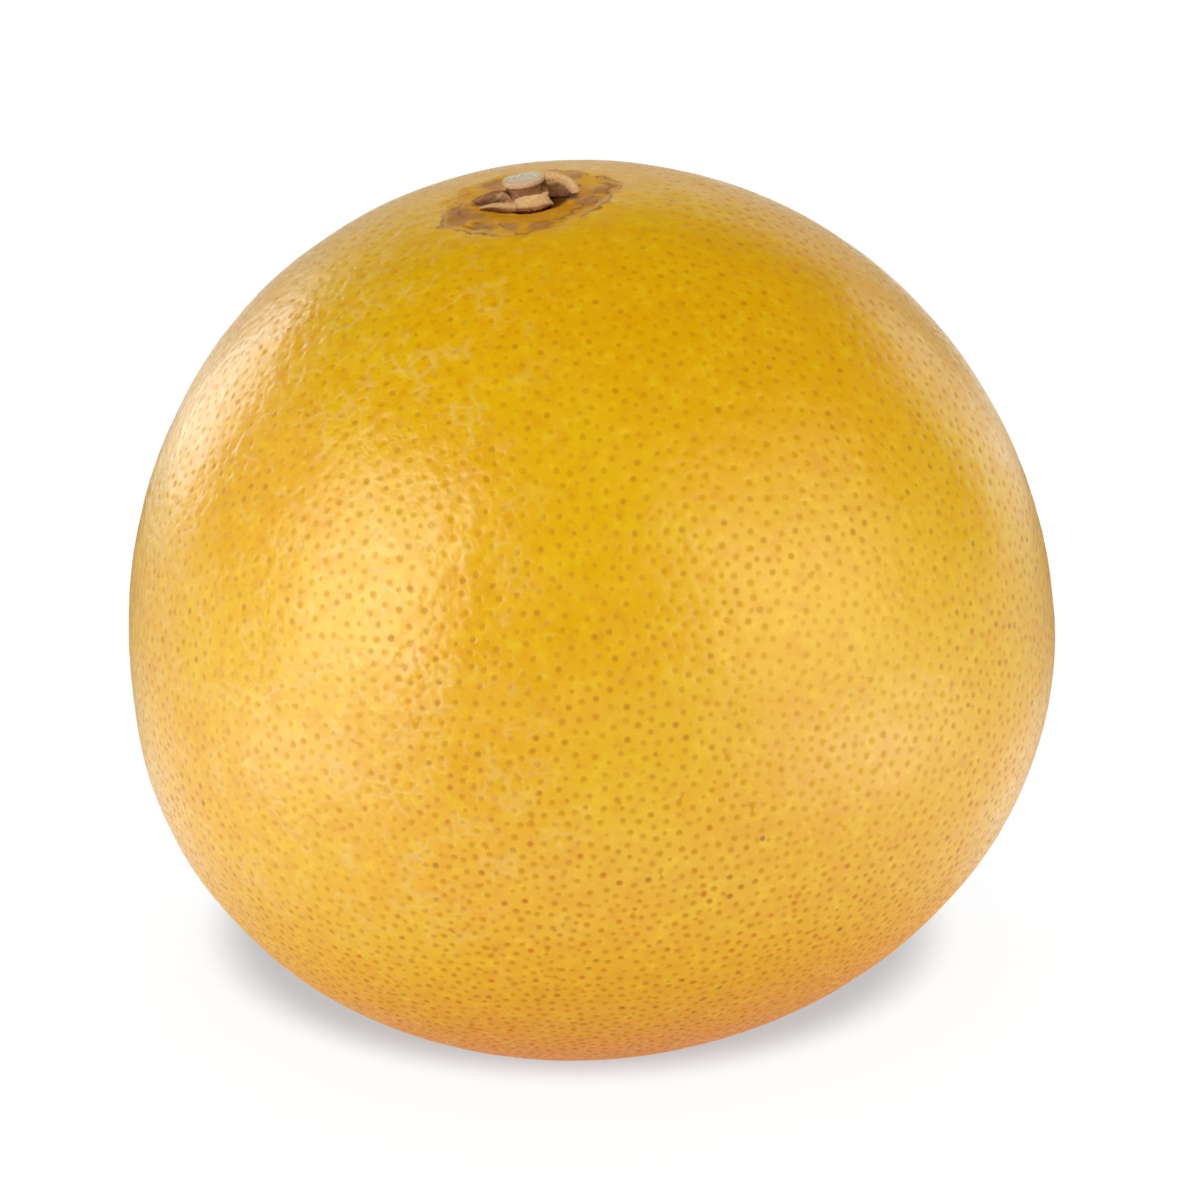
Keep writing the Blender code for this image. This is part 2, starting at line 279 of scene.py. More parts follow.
def relax(directions, pole, amount):
    """Moves each direction towards the middle of those joined to it, so that the gaps even out."""
    faces = join_directions(directions, pole)
    total = np.zeros_like(directions)
    count = np.zeros(len(directions))
    for a, b in ((0, 1), (1, 2), (2, 0)):
        for start, end in ((a, b), (b, a)):
            np.add.at(total, faces[:, start], directions[faces[:, end]])
            np.add.at(count, faces[:, start], 1)
    moved = directions + amount * (total / count[:, None] - directions)
    moved /= np.linalg.norm(moved, axis=1, keepdims=True)
    near_pole = (directions @ np.array(pole) > STILL_CAP)[:, None]
    return np.where(near_pole, directions, moved)


def smooth_step(value, low, high):
    """From 0 at or below low to 1 at or above high, with no corner at either."""
    share = np.clip((value - low) / (high - low), 0, 1)
    return share * share * (3 - 2 * share)


def swelling(points, size, seed):
    """Smooth noise at each point, with bumps of about one size."""
    shift = Vector((seed * 3.7, seed * 1.9, seed * 5.3))
    return np.array([noise.noise(Vector(point) / size + shift) for point in points])


def peel_layout():
    """Directions of the peel's vertices, the number of each one's pore or -1, and the pores' own values."""
    rng = random.Random(PEEL_SEED)
    chance = np.random.default_rng(PEEL_SEED)
    strong = scatter(rng, pore_spacing, (), -1, PORE_MISSES)
    faint = scatter(rng, lambda rise: pore_spacing(rise) * FAINT_SPACING, strong, -1, PORE_MISSES)
    pores = relax(np.array(strong + faint), LOWEST, PORE_RELAX)
    is_strong = np.arange(len(pores)) < len(strong)
    from_axis = np.where(pores[:, 2] > 0, np.hypot(pores[:, 0], pores[:, 1]) * EQUATOR_RADIUS, 1.0)
    from_pole = np.linalg.norm(pores - np.array(LOWEST), axis=1) * EQUATOR_RADIUS
    keep = (from_axis > PORES_START) & (from_pole > FAN_RADIUS + 2 * PORE_RADIUS)
    pores, is_strong, from_axis = pores[keep], is_strong[keep], from_axis[keep]
    count = len(pores)
    force = np.where(is_strong, chance.uniform(*STRONG_FORCE, count), chance.uniform(*FAINT_FORCE, count))
    force *= FORCE_BY_STEM + (1 - FORCE_BY_STEM) * smooth_step(from_axis, PORES_START, PORES_FULL)
    tint = chance.uniform(0, 1, count)
    reach = np.where(is_strong, PORE_RADIUS, FAINT_PORE_RADIUS) * (0.74 + 0.36 * force)

    fine_rise = math.cos(FINE_REACH / EQUATOR_RADIUS)
    fine = np.array(scatter(rng, lambda rise: FINE_SPACING, (), fine_rise, FINE_MISSES))
    fine = fine[np.hypot(fine[:, 0], fine[:, 1]) * EQUATOR_RADIUS < PORES_START - PORE_RADIUS]
    number = np.arange(count)
    directions = np.vstack([
        pores,
        rings(pores[is_strong], reach[is_strong], PORE_SIDES, chance),
        rings(pores[~is_strong], reach[~is_strong], FAINT_PORE_SIDES, chance),
        fine,
        rings(np.array([LOWEST]), np.array([FAN_RADIUS]), FAN_SIDES, chance),
    ])
    owner = np.concatenate([
        number,
        np.repeat(number[is_strong], PORE_SIDES),
        np.repeat(number[~is_strong], FAINT_PORE_SIDES),
        np.full(len(fine) + FAN_SIDES, -1),
    ])
    return directions, owner, force, tint, reach


def peel_faces(directions):
    """Triangles over all directions, with a fan to one more vertex that closes them at the lowest point."""
    faces = join_directions(directions, LOWEST)
    first = len(directions) - FAN_SIDES
    rim = np.arange(first, first + FAN_SIDES)
    fan = np.stack([rim, np.roll(rim, -1), np.full(FAN_SIDES, len(directions))], 1)
    closed = np.vstack([directions, np.array(LOWEST)[None]])
    faces = np.vstack([faces, fan])
    a, b, c = (closed[faces[:, corner]] for corner in range(3))
    inward = np.einsum("ij,ij->i", np.cross(b - a, c - a), a + b + c) < 0
    faces[inward] = faces[inward][:, ::-1]
    return closed, faces


def stem_relief(points):
    """Height of the scar round the stem end: its stepped edge, the rim by the calyx and fine radial folds."""
    from_axis = np.hypot(points[:, 0], points[:, 1])
    turn = np.arctan2(points[:, 1], points[:, 0])
    near = (from_axis < 2 * RING_RADIUS) & (points[:, 2] > 0)
    height = np.zeros(len(points))
    some = points[near]
    rho, angle = from_axis[near], turn[near]
    wobble = 0.0009 * swelling(some, 0.0042, 3) + 0.0004 * swelling(some, 0.0014, 4)
    edge = scar_radius(angle) + 0.5 * wobble
    low = -RING_STEP * (1 - smooth_step(rho, edge - 0.0004, edge + 0.0003))
    lip = LIP_HEIGHT * np.exp(-(((rho - edge) / LIP_WIDTH) ** 2))
    crease = -CREASE_DEPTH * (1 - smooth_step(rho, CREASE_INNER, CREASE_OUTER))
    rim = RIM_HEIGHT * np.exp(-(((rho - RIM_RADIUS - 0.6 * wobble) / RIM_WIDTH) ** 2))
    fold_fade = smooth_step(rho, 0.0040, 0.0058) * (1 - smooth_step(rho, 0.0085, 0.0150))
    folds = FOLD_HEIGHT * np.sin(FOLD_COUNT * angle + 5 * swelling(some, 0.006, 5)) * fold_fade
    rough = 0.00005 * swelling(some, 0.0011, 6) * (1 - smooth_step(rho, edge - 0.0010, edge + 0.0010))
    height[near] = low + lip + crease + rim + folds + rough
    return height


def make_peel():
    """The peel as one closed mesh, with a dent at each pore and the fields that its material reads."""
    directions, owner, force, tint, reach = peel_layout()
    directions, faces = peel_faces(directions)
    owner = np.append(owner, -1)
    in_pit = (np.arange(len(directions)) < len(force)).astype(float)
    points = peel_points(directions)
    height = stem_relief(points)
    height[:len(force)] -= PORE_DEPTH * force
    calm = CALM_AT_STEM + (1 - CALM_AT_STEM) * smooth_step(np.hypot(points[:, 0], points[:, 1]), 0.006, 0.016)
    for number, (size, depth) in enumerate(SWELLINGS):
        height += depth * swelling(points, size, 10 + number) * calm
    points = points + directions * height[:, None]
    points = rest_flat(points)
    mesh = bpy.data.meshes.new("peel")
    mesh.from_pydata(points.tolist(), [], faces.tolist())
    mesh.update()
    mesh.shade_smooth()
    from_scar, browned = scar_fields(points)
    fields = {
        "in_pit": in_pit,
        "pore_force": np.where(owner < 0, 0, force[owner]),
        "pore_tint": np.where(owner < 0, 0, tint[owner]),
        "pore_reach": np.where(owner < 0, PORE_RADIUS, reach[owner]),
        "from_scar": from_scar,
        "browned": browned,
    }
    for name, values in fields.items():
        add_field(mesh, name, values)
    in_row = points @ np.array(TURN).T + np.array(CENTRE)
    layer = mesh.attributes.new("pore_at", "FLOAT_VECTOR", "POINT")
    layer.data.foreach_set("vector", in_row[owner].astype(np.float32).ravel())
    return add_piece("peel", mesh, FRUIT_MATRIX, "fruit")


def add_field(mesh, name, values):
    """A value at each vertex, for the mesh's material."""
    layer = mesh.attributes.new(name, "FLOAT", "POINT")
    layer.data.foreach_set("value", values.astype(np.float32))


def scar_radius(turn):
    """Distance of the scar's outline from the stem axis at a turn in radians from the right."""
    turns, radii = zip(*SCAR_OUTLINE)
    return np.interp(np.degrees(turn), turns, radii, period=360)


def scar_fields(points):
    """How far outside the scar each point lies, and how browned it is by the patches in the scar."""
    rho = np.hypot(points[:, 0], points[:, 1])
    outside = rho - scar_radius(np.arctan2(points[:, 1], points[:, 0]))
    outside = np.where(points[:, 2] > 0, outside, 1.0)
    browned = np.zeros(len(points))
    for x, y, reach in SCAR_PATCHES:
        away = np.hypot(points[:, 0] - x, points[:, 1] - y) / reach
        browned = np.maximum(browned, np.where(points[:, 2] > 0, np.exp(-(away**2)), 0))
    return np.clip(outside, -1, 0.01), browned


def rest_flat(points):
    """Presses the points of the fruit's own frame softly onto the resting plane."""
    turn = np.array(TURN)
    world = points @ turn.T + np.array(CENTRE)
    z = world[:, 2]
    world[:, 2] = (z + np.sqrt(z**2 + FLAT_SPOT_BLEND**2)) / 2
    return (world - np.array(CENTRE)) @ turn


# Pieces


def add_piece(name, mesh, matrix, node):
    """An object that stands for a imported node, with its mesh moved from its own frame to the row's."""
    mesh.transform(matrix)
    piece = bpy.data.objects.new(name, mesh)
    bpy.context.scene.collection.objects.link(piece)
    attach(piece, "root")
    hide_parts(node)
    return piece


def spine_point(sepal, along):
    """Distance from the stem axis and height of a sepal's middle line, from 0 at its root to 1 at its tip."""
    root = Vector((SEPAL_ROOT_RADIUS, sepal.root_height))
    crest = Vector((sepal.crest_radius, sepal.crest_height))
    tip = Vector((sepal.tip_radius, sepal.tip_height))
    pull = 2 * crest - (root + tip) / 2
    return (1 - along) ** 2 * root + 2 * along * (1 - along) * pull + along**2 * tip


def sepal_corner(sepal, number, corner):
    """Where a corner of the cube of side 2 goes when the cube is bent into a sepal."""
    along = (corner.x + 1) / 2
    side, level = corner.y, corner.z
    fray = noise.noise(Vector((side * 2.1, number * 7.3, 0.5)))
    along_frayed = along * (1 + 0.12 * fray * along)
    width = sepal.root_width + (sepal.tip_width - sepal.root_width) * along
    width *= 1 + 0.10 * noise.noise(Vector((along * 3.0, number * 3.1, side)))
    thickness = sepal.thickness * (1.25 - 0.35 * along) * (1 - 0.5 * side**4)
    radius, height = spine_point(sepal, along_frayed)
    top = height + thickness / 2 - 16 * width**2 * side**2
    over_peel = 0.00005 + 0.00025 * float(smooth_step(radius, 0.0034, 0.0054))
    fill = sepal.fill * (1 - float(smooth_step(along, 0.70, 1.05)))
    bottom = max((top - thickness) * (1 - fill) + min(over_peel, top - thickness) * fill, 0.00002)
    fibres = noise.noise(Vector((side * 7.0 + number * 11, along * 1.6, level)))
    height = bottom + (top - bottom) * (level + 1) / 2 + 0.00009 * fibres * (level + 1) / 2
    undercut = 1 - 0.16 * sepal.fill * (1 - level) / 2 * along
    turn = math.radians(sepal.root_turn + (sepal.tip_turn - sepal.root_turn) * along)
    turn += side * width / 2 * (1 - 0.12 * level**2) / radius
    return Vector((radius * undercut * math.cos(turn), radius * undercut * math.sin(turn), height))


def sepal_mesh(sepal, number):
    """A finely cut cube bent along the sepal's middle line."""
    bm = bmesh.new()
    bmesh.ops.create_cube(bm, size=2.0)
    bmesh.ops.subdivide_edges(bm, edges=bm.edges[:], cuts=SEPAL_CUTS, use_grid_fill=True)
    for vert in bm.verts:
        vert.co = sepal_corner(sepal, number, vert.co)
    mesh = bpy.data.meshes.new(f"sepal_{number}")
    bm.to_mesh(mesh)
    bm.free()
    return mesh


def make_calyx():
    """The sepals and the cone that they grow from, remeshed into one rough skin."""
    bm = bmesh.new()
    bmesh.ops.create_cone(
        bm, cap_ends=True, segments=72, radius1=CALYX_RADIUS, radius2=CALYX_TOP_RADIUS,
        depth=CALYX_TOP - CALYX_BOTTOM, matrix=Matrix.Translation((0, 0, (CALYX_TOP + CALYX_BOTTOM) / 2)),
    )
    for number, sepal in enumerate(SEPALS):
        bm.from_mesh(sepal_mesh(sepal, number))
    rough = bpy.data.meshes.new("calyx_rough")
    bm.to_mesh(rough)
    bm.free()
    mesh = remeshed(rough, CALYX_VOXEL)
    points = mesh_points(mesh)
    height = 0.00005 * swelling(points, 0.0007, 20) + 0.00003 * swelling(points, 0.0003, 21)
    points += mesh_normals(mesh) * height[:, None]
    mesh.vertices.foreach_set("co", points.astype(np.float32).ravel())
    mesh.update()
    mesh.shade_smooth()
    for name, values in sepal_masks(points).items():
        add_field(mesh, name, values)
    return add_piece("dry_sepals", mesh, STEM_MATRIX, "calyx")


def remeshed(rough, voxel):
    """One closed surface round all that a mesh holds."""
    holder = bpy.data.objects.new("remesh", rough)
    bpy.context.scene.collection.objects.link(holder)
    remesh = holder.modifiers.new("remesh", "REMESH")
    remesh.mode = "VOXEL"
    remesh.voxel_size = voxel
    smooth = holder.modifiers.new("smooth", "SMOOTH")
    smooth.iterations = 1
    smooth.factor = 0.4
    graph = bpy.context.evaluated_depsgraph_get()
    mesh = bpy.data.meshes.new_from_object(holder.evaluated_get(graph))
    bpy.data.objects.remove(holder)
    return mesh


def mesh_points(mesh):
    flat = np.zeros(len(mesh.vertices) * 3, np.float32)
    mesh.vertices.foreach_get("co", flat)
    return flat.reshape(-1, 3).astype(float)


def mesh_normals(mesh):
    flat = np.zeros(len(mesh.vertices) * 3, np.float32)
    mesh.vertex_normals.foreach_get("vector", flat)
    return flat.reshape(-1, 3).astype(float)


def sepal_masks(points):
    """For each point of the calyx, how pale its sepal is, cut under the sepal's middle line as painted shade,
    and how far along the sepal it lies.
    """
    best = np.full(len(points), 1e9)
    below = np.zeros(len(points))
    paleness = np.full(len(points), 0.35)
    along_best = np.zeros(len(points))
    for sepal in SEPALS:
        for along in np.linspace(0.15, 1, 12):
            radius, height = spine_point(sepal, along)
            turn = math.radians(sepal.root_turn + (sepal.tip_turn - sepal.root_turn) * along)
            middle = Matrix.Rotation(turn, 3, "Z") @ Vector((radius, 0, height))
            side = np.array([-math.sin(turn), math.cos(turn), 0.0])
            offset = points - np.array(middle)
            width = sepal.root_width + (sepal.tip_width - sepal.root_width) * along
            sideways = offset @ side
            over = np.clip(np.abs(sideways) - width / 2, 0, None)
            distance = (offset**2).sum(1) - sideways**2 + over**2
            closer = distance < best
            best = np.where(closer, distance, best)
            paleness = np.where(closer, sepal.pale, paleness)
            along_best = np.where(closer, along, along_best)
            below = np.where(closer, height - points[:, 2], below)
    return {"pale": paleness * (1 - 0.85 * smooth_step(below, 0.0005, 0.0009)), "along": along_best}


def make_stub():
    """The cut stalk: rings of corners from the middle of its face, over the rim and down the neck."""
    bottom = CALYX_TOP - 0.0001
    under = STUB_TOP - HEAD_HEIGHT
    sections = [(HEAD_RADIUS * share, STUB_TOP) for share in np.linspace(0.04, 0.97, 26)]
    sections += [(HEAD_RADIUS, STUB_TOP - HEAD_HEIGHT * share) for share in (0.08, 0.3, 0.55, 0.8)]
    sections += [(HEAD_RADIUS * 0.97, under - 0.00002), (HEAD_RADIUS * 0.90, under - 0.00008)]
    neck_top = under - 0.00014
    for share in np.linspace(0, 1, 12):
        radius = NECK_RADIUS * (1.06 - 0.10 * math.sin(math.pi * share))
        sections.append((radius, neck_top - (neck_top - bottom) * share))
    turns = np.linspace(0, 2 * math.pi, STUB_SIDES, endpoint=False)
    points = []
    for radius, height in sections:
        for turn in turns:
            spot = Vector((math.cos(turn) * 1.3, math.sin(turn) * 1.3, height / 0.0012))
            outline = 1 + 0.035 * noise.noise(spot * 1.1) + 0.012 * noise.noise(spot * 4)
            fibres = 0.00004 * noise.noise(Vector((math.cos(turn) * 9, math.sin(turn) * 9, height / 0.004)))
            share = min(1.0, radius / HEAD_RADIUS)
            reach = radius * (1 + (outline - 1) * share) + (fibres if height < STUB_TOP - 0.0001 else 0)
            rise = height
            if height == STUB_TOP:
                dish = 1 - smooth_step(share, 0.62, 0.86)
                rise -= 0.00016 * dish
                spot = Vector((reach * math.cos(turn), reach * math.sin(turn), 0))
                rise += 0.00007 * noise.noise(spot / 0.00035)
            rise += 0.00010 * math.cos(turn + 0.6) * share
            points.append((reach * math.cos(turn), reach * math.sin(turn) * STUB_ROUND, rise))
    faces = []
    for ring in range(len(sections) - 1):
        for side in range(STUB_SIDES):
            near, far = ring * STUB_SIDES + side, ring * STUB_SIDES + (side + 1) % STUB_SIDES
            faces.append((near, near + STUB_SIDES, far + STUB_SIDES, far))
    faces.append(tuple(range(STUB_SIDES)))
    last = (len(sections) - 1) * STUB_SIDES
    faces.append(tuple(reversed(range(last, last + STUB_SIDES))))
    mesh = bpy.data.meshes.new("stalk_stub")
    mesh.from_pydata(points, [], faces)
    mesh.update()
    mesh.shade_smooth()
    mesh.set_sharp_from_angle(angle=math.radians(50))
    return add_piece("stalk_stub", mesh, STUB_MATRIX, "stem_stub")


# Materials


class Shader:
    """A material's node tree. An input that is a socket is linked, and any other is set."""

    def __init__(self, name):
        self.material = bpy.data.materials.new(name)
        self.material.use_nodes = True
        self.tree = self.material.node_tree
        self.surface = self.tree.nodes["Principled BSDF"]

    def node(self, kind, settings, inputs, output=0):
        made = self.tree.nodes.new(kind)
        for name, value in settings.items():
            setattr(made, name, value)
        for name, value in inputs.items():
            self.put(made.inputs[name], value)
        return made.outputs[output]

    def put(self, socket, value):
        if isinstance(value, bpy.types.NodeSocket):
            self.tree.links.new(value, socket)
        else:
            socket.default_value = value

    def finish(self, **inputs):
        for name, value in inputs.items():
            self.put(self.surface.inputs[name.replace("_", " ")], value)
        return self.material

    def place(self, matrix):
        """Coordinates in the frame that a matrix places in the row's."""
        back = matrix.inverted()
        inputs = {
            "Vector": self.node("ShaderNodeTexCoord", {}, {}, "Object"),
            "Location": back.translation,
            "Rotation": back.to_euler(),
        }
        return self.node("ShaderNodeMapping", {"vector_type": "POINT"}, inputs)

    def attribute(self, name, output="Fac"):
        return self.node("ShaderNodeAttribute", {"attribute_name": name}, {}, output)

    def noise(self, place, size, detail=2.0, rough=0.5):
        inputs = {"Vector": place, "Scale": 1 / size, "Detail": detail, "Roughness": rough}
        return self.node("ShaderNodeTexNoise", {}, inputs, "Fac")

    def cells(self, place, size, feature, output):
        inputs = {"Vector": place, "Scale": 1 / size}
        return self.node("ShaderNodeTexVoronoi", {"feature": feature}, inputs, output)

    def math(self, operation, *values, clamp=False):
        settings = {"operation": operation, "use_clamp": clamp}
        return self.node("ShaderNodeMath", settings, dict(enumerate(values)))

    def times(self, first, *others):
        for other in others:
            first = self.math("MULTIPLY", first, other)
        return first

    def length(self, x, y):
        return self.math("SQRT", self.math("ADD", self.math("MULTIPLY", x, x), self.math("MULTIPLY", y, y)))

    def spread(self, value, low, high, to_low=0.0, to_high=1.0):
        """A smooth ramp from one result at low to the other at high."""
        inputs = {0: value, 1: low, 2: high, 3: to_low, 4: to_high}
        return self.node("ShaderNodeMapRange", {"interpolation_type": "SMOOTHSTEP"}, inputs)

    def mix(self, share, first, second):
        return self.node("ShaderNodeMix", {"data_type": "RGBA"}, {0: share, 6: first, 7: second}, 2)

    def split(self, place):
        made = self.tree.nodes.new("ShaderNodeSeparateXYZ")
        self.put(made.inputs[0], place)
        return made.outputs

    def bump(self, height, distance, strength):
        inputs = {"Height": height, "Distance": distance, "Strength": strength}
        return self.node("ShaderNodeBump", {}, inputs)


def colour(red, green, blue):
    return (red, green, blue, 1.0)


GOLD = colour(0.86, 0.44, 0.002)
LEMON = colour(0.86, 0.485, 0.003)
AMBER = colour(0.80, 0.340, 0.004)
UNDERSIDE_AND_BOUNCE = colour(0.93, 0.190, 0.003)
PORE_OCHRE = colour(0.62, 0.255, 0.001)
PORE_BROWN = colour(0.36, 0.14, 0.003)
PORE_RUST = colour(0.68, 0.15, 0.006)
PALE_SKIN = colour(0.91, 0.57, 0.010)
RIDGE_GLINT = colour(0.92, 0.62, 0.18)
TICK_BROWN, FLECK_PALE = colour(0.30, 0.10, 0.015), colour(0.82, 0.42, 0.12)
SCAR_GROUND, SCAR_LINE = colour(0.55, 0.20, 0.005), colour(0.31, 0.090, 0.008)
SCAR_BARK_DARK, SCAR_BARK_PALE = colour(0.45, 0.18, 0.024), colour(0.50, 0.225, 0.075)
HOLLOW_SHADE = colour(0.11, 0.028, 0.002)
BLOSSOM_HALO, BLOSSOM_CORK = colour(0.50, 0.26, 0.05), colour(0.20, 0.10, 0.035)
SEPAL_BROWN_DARK, SEPAL_BROWN_PALE = colour(0.25, 0.095, 0.032), colour(0.37, 0.16, 0.065)
SEPAL_CREAM_DARK, SEPAL_CREAM_PALE = colour(0.80, 0.49, 0.20), colour(0.87, 0.56, 0.26)
SEPAL_TIP, SEPAL_GRAIN = colour(0.47, 0.23, 0.095), colour(0.16, 0.06, 0.02)
FACE_DARK, FACE_PALE = colour(0.50, 0.42, 0.31), colour(0.76, 0.64, 0.46)
FACE_RIM_DARK, FACE_RIM_PALE = colour(0.70, 0.46, 0.24), colour(0.82, 0.60, 0.35)
NECK_BARK_DARK, NECK_BARK_PALE = colour(0.40, 0.19, 0.075), colour(0.52, 0.26, 0.115)
WHITE, BLACK = colour(1, 1, 1), colour(0, 0, 0)


def peel_material():
    s = Shader("peel")
    place = s.place(FRUIT_MATRIX)
    x, y, z = s.split(place)
    from_axis = s.length(x, y)

    patches = s.noise(place, 0.028, 2.0)
    skin = s.mix(s.spread(patches, 0.38, 0.66), GOLD, LEMON)
    # More orange towards the bottom: partly the peel's own colour, partly painted warm bounce light from the
    # table.
    skin = s.mix(s.spread(z, -0.016, -0.050), skin, UNDERSIDE_AND_BOUNCE)
    between = s.noise(place, 0.0019, 3.0, 0.65)
    skin = s.mix(s.spread(between, 0.50, 0.72, 0.0, 0.75), skin, PALE_SKIN)
    skin = s.mix(s.spread(between, 0.48, 0.30, 0.0, 0.55), skin, AMBER)

    # Oil pores: a soft round dot, brown or rust red in a few
    here = s.node("ShaderNodeTexCoord", {}, {}, "Object")
    pore_at = s.attribute("pore_at", "Vector")
    away = s.node("ShaderNodeVectorMath", {"operation": "DISTANCE"}, {0: here, 1: pore_at}, "Value")
    dot = s.spread(s.math("DIVIDE", away, s.attribute("pore_reach")), 0.90, 0.28)
    dot = s.times(dot, s.math("GREATER_THAN", s.attribute("in_pit"), 0.001), s.attribute("pore_force"))
    tint = s.attribute("pore_tint")
    # Dots are fainter on the two cheeks where the side lamps' highlights fall, a painted highlight that
    # washes them out, and stronger lower down.
    aside = s.math("ABSOLUTE", x)
    highlight_cheek = s.times(s.spread(aside, 0.012, 0.024), s.spread(aside, 0.046, 0.036))
    highlight_cheek = s.times(highlight_cheek, s.spread(z, -0.014, -0.002), s.spread(z, 0.030, 0.018))
    depth = s.times(s.spread(z, 0.050, -0.035, 0.55, 0.95), s.spread(highlight_cheek, 0.0, 1.0, 1.0, 0.62))
    dot_colour = s.mix(s.spread(tint, 0.85, 0.87), PORE_OCHRE, PORE_BROWN)
    rusty = s.times(s.spread(tint, 0.88, 0.90), s.spread(z, 0.025, -0.020, 0.25, 1.0))
    dot_colour = s.mix(rusty, dot_colour, PORE_RUST)
    skin = s.mix(s.times(dot, depth), skin, dot_colour)

    skin, corky = stem_scar(s, skin, place)
    skin = blossom_scar(s, skin, place, from_axis, z)
    skin = small_marks(s, skin, place)

    # Relief too fine for the mesh: soft swellings, broken ridges on the left shoulder, and the pits
    shoulder = s.times(s.spread(x, 0.010, -0.016), s.spread(z, -0.030, 0.004))
    drift = s.node("ShaderNodeTexNoise", {}, {"Vector": place, "Scale": 1 / 0.0030, "Detail": 1.0}, "Color")
    inputs = {0: drift, 1: (0.0022, 0.0022, 0.0022), 2: place}
    bent = s.node("ShaderNodeVectorMath", {"operation": "MULTIPLY_ADD"}, inputs)
    ridges = s.spread(s.cells(bent, 0.0023, "DISTANCE_TO_EDGE", "Distance"), 0.16, 0.0)
    ridges = s.times(ridges, s.spread(s.noise(place, 0.0036), 0.47, 0.60))
    ridges = s.times(ridges, s.spread(shoulder, 0.0, 1.0, 0.05, 1.0))
    relief = s.times(s.noise(place, 0.0021), s.spread(shoulder, 0.0, 1.0, 0.32, 0.80))
    relief = s.math("ADD", relief, s.times(ridges, 0.07))
    relief = s.math("SUBTRACT", relief, s.times(dot, 0.16))
    normal = s.bump(relief, 0.00022, 1.0)
    # Painted glints: the ridges are lightened in colour, mostly on the left shoulder where the left lamps'
    # highlight falls.
    skin = s.mix(s.times(ridges, 0.34), skin, RIDGE_GLINT)

    # Gloss: duller in the dots, the scar and the hollow by the calyx; the dots' reflection is also cut, more
    # so lower down, as painted shade in the pits
    rough = s.spread(s.noise(place, 0.004), 0.3, 0.7, 0.25, 0.33)
    rough = s.math("ADD", rough, s.times(dot, 0.08))
    rough = s.math("ADD", rough, s.times(corky, 0.18))
    pit_gloss_shade = s.times(dot, s.spread(z, 0.015, -0.025, 0.55, 1.0))
    sheen = s.mix(pit_gloss_shade, WHITE, colour(0.1, 0.1, 0.1))
    return s.finish(
        Base_Color=skin, Roughness=rough, Normal=normal, Specular_IOR_Level=0.5, Specular_Tint=sheen
    )


def stem_scar(s, skin, place):
    """The corky scar: browned skin with darker patches and broken dark lines, and a painted shade in the
    hollow under the calyx. Also says how rough the scar and that hollow are.
    """
    x, y, z = s.split(place)
    from_scar = s.attribute("from_scar")
    wander = s.times(s.math("SUBTRACT", s.noise(place, 0.0032), 0.5), 0.0028)
    ragged = s.times(s.math("SUBTRACT", s.noise(place, 0.0010), 0.5), 0.0018)
    outside = s.math("ADD", from_scar, s.math("ADD", wander, ragged))
    inside = s.spread(outside, 0.0007, -0.0016)
    shows = s.spread(s.noise(place, 0.0026, 3.0, 0.6), 0.34, 0.58, 0.22, 0.70)
    skin = s.mix(s.times(inside, shows), skin, SCAR_GROUND)

    blotch = s.times(s.math("SUBTRACT", s.noise(place, 0.0014, 3.0, 0.6), 0.5), 0.9)
    browned = s.times(s.spread(s.math("ADD", s.attribute("browned"), blotch), 0.25, 0.60), inside)
    bark = s.mix(s.spread(s.noise(place, 0.0036), 0.42, 0.60), SCAR_BARK_DARK, SCAR_BARK_PALE)
    skin = s.mix(s.times(browned, 0.86), skin, bark)

    near = s.spread(from_scar, 0.004, 0.002)
    fainter_behind = s.spread(s.math("SUBTRACT", y, x), 0.0070, 0.0110, 1.0, 0.25)
    for middle, size, low, high in SCAR_LINES:
        line = s.spread(s.math("ABSOLUTE", s.math("SUBTRACT", outside, middle)), 0.00042, 0.00008)
        gaps = s.spread(s.noise(place, size), low, high)
        skin = s.mix(s.times(line, gaps, near, fainter_behind, 0.74), skin, SCAR_LINE)

    # Painted shade: a dark brown spot in the crease under the calyx, reaching out to the right under a
    # blade's tip.
    from_shade_spot = s.length(s.math("SUBTRACT", x, 0.0012), s.math("SUBTRACT", y, 0.0004))
    hollow = s.spread(from_shade_spot, 0.0036, 0.0028)
    skin = s.mix(s.times(hollow, s.spread(z, 0.0, 0.010)), skin, HOLLOW_SHADE)
    return skin, s.math("ADD", inside, s.times(hollow, 1.5))


def blossom_scar(s, skin, place, from_axis, z):
    """The small corky disc at the blossom end."""
    under = s.spread(z, -0.040, -0.046)
    ragged = s.times(s.math("SUBTRACT", s.noise(place, 0.0011, 3.0), 0.5), 0.0012)
    rho = s.math("ADD", from_axis, ragged)
    skin = s.mix(s.times(s.spread(rho, 0.0065, 0.0022, 0.0, 0.45), under), skin, BLOSSOM_HALO)
    return s.mix(s.times(s.spread(rho, 0.0024, 0.0017), under, 0.9), skin, BLOSSOM_CORK)


def small_marks(s, skin, place):
    """A few small brown ticks and pale rubbed flecks, scattered unevenly."""
    ragged = s.times(s.noise(place, 0.0008), 0.03)
    ticks = s.math("ADD", s.cells(place, 0.0150, "F1", "Distance"), ragged)
    skin = s.mix(s.spread(ticks, 0.044, 0.030, 0.0, 0.75), skin, TICK_BROWN)
    flecks = s.math("ADD", s.cells(place, 0.0210, "F1", "Distance"), s.times(ragged, 2.0))
    return s.mix(s.spread(flecks, 0.080, 0.060, 0.0, 0.45), skin, FLECK_PALE)


